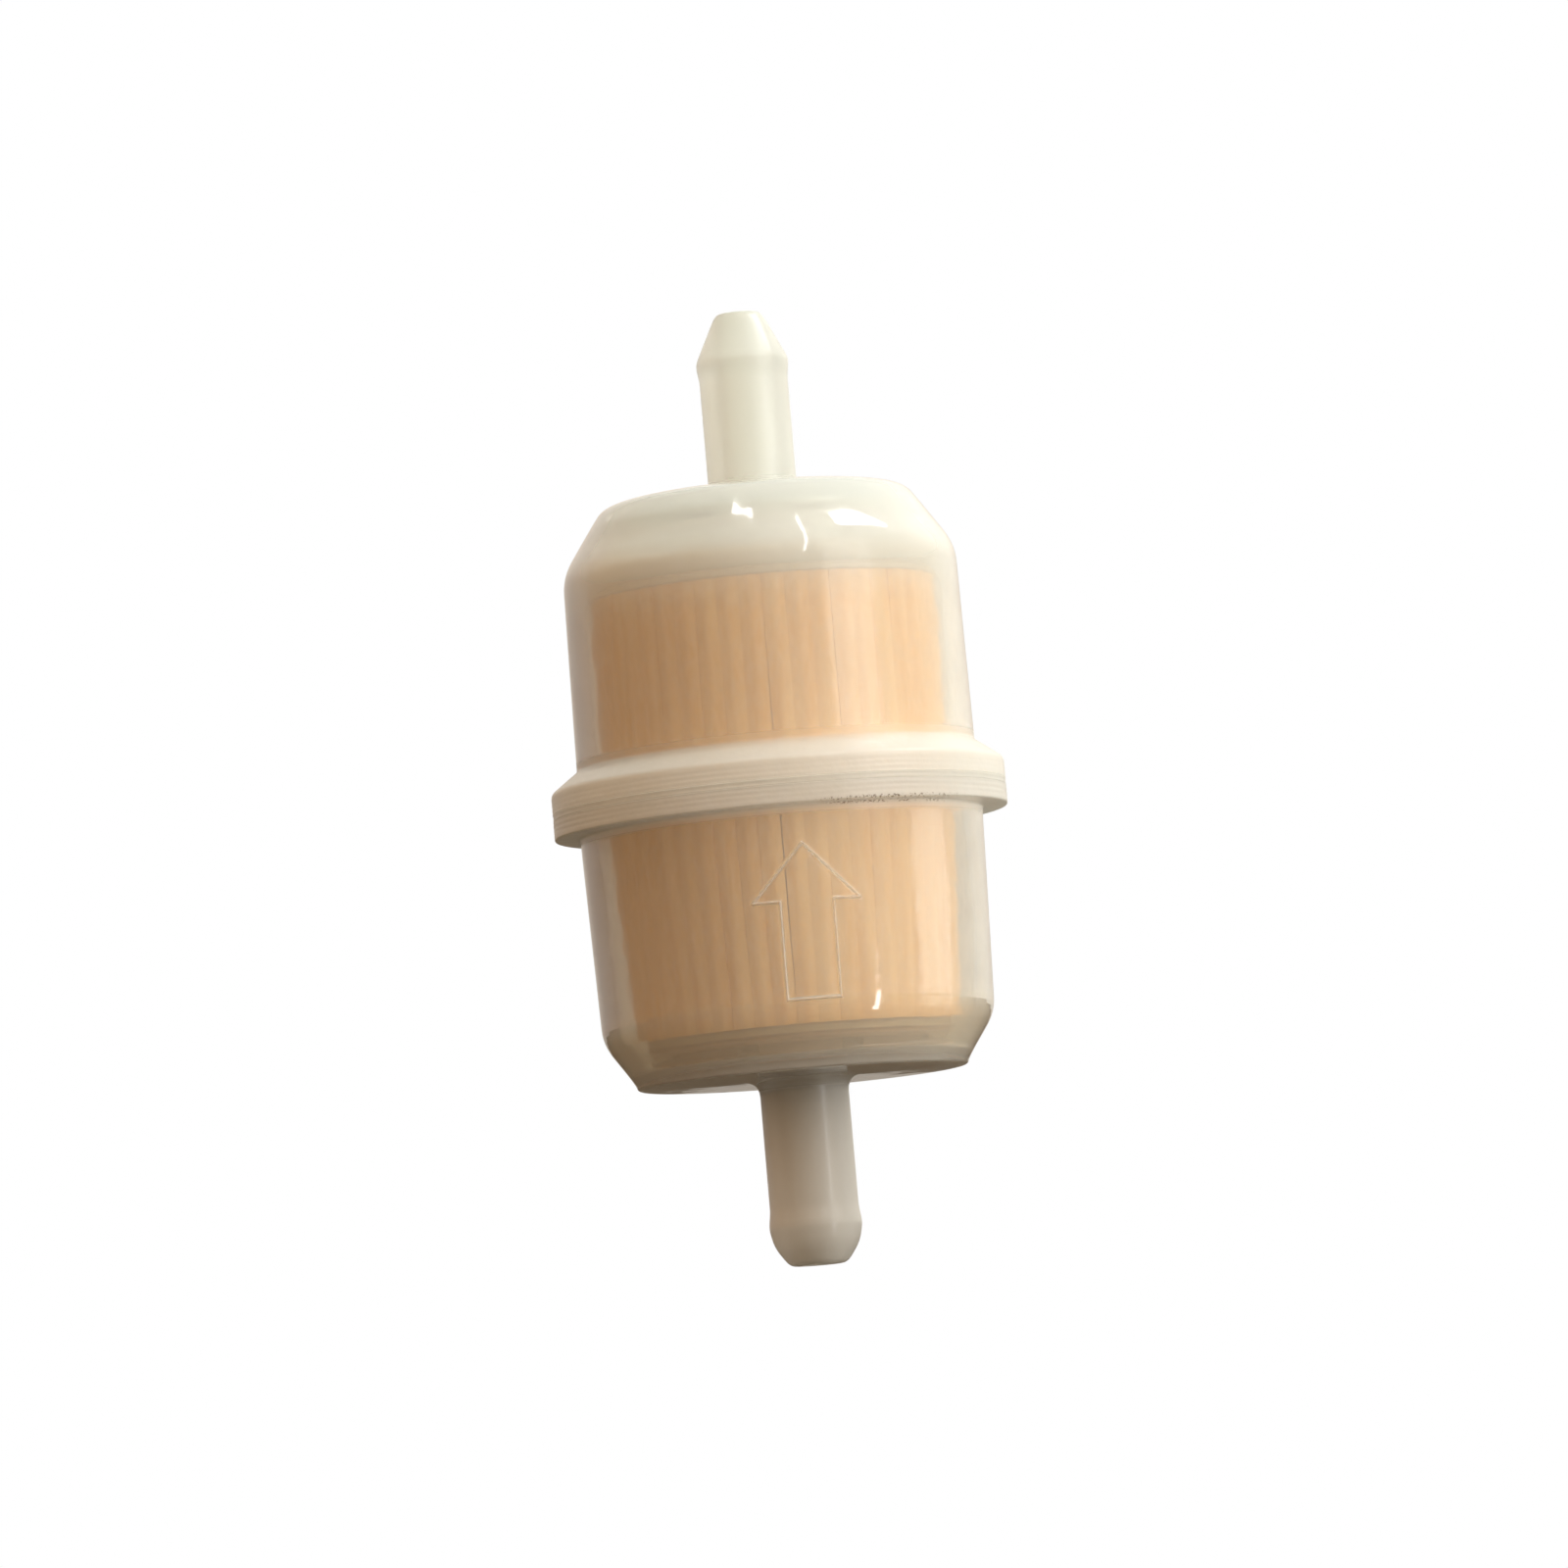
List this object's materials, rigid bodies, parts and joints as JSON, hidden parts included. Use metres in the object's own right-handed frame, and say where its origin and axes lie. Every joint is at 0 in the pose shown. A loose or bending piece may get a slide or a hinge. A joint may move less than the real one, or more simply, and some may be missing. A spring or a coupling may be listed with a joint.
{
  "type": "fuel filter",
  "caption": "Small in-line fuel filter: translucent flanged nylon canister with a barbed hose stub at each end and a pleated paper element inside.",
  "frame": {"origin": "on the filter's axis, half-way between the two hose stub tips", "axes": "+Z along the axis in the direction of flow, from the inlet stub to the outlet stub; -Y towards the side with the raised flow arrow"},
  "size_m": [0.0364, 0.0364, 0.0768],
  "materials": {
    "nylon": "glossy milky translucent moulding",
    "nylon_weld": "satin, remelted, slightly ridged",
    "filter_paper": "matt resin-treated pleated paper",
    "adhesive": "set potting adhesive",
    "end_cap": "satin grey-green moulding",
    "end_cap_brown": "satin brown moulding",
    "core_plastic": "satin moulding",
    "rubber": "matt nitrile"
  },
  "bodies": {
    "root": {"outlet_housing": "nylon", "inlet_housing": "nylon", "weld_bead": "nylon_weld", "pleated_paper": "filter_paper", "paper_seam": "adhesive", "outlet_end_cap": "end_cap", "inlet_end_cap": "end_cap_brown", "outlet_adhesive": "adhesive", "inlet_adhesive": "adhesive", "centre_tube": "core_plastic", "seal_ring": "rubber"}
  },
  "joints": []
}
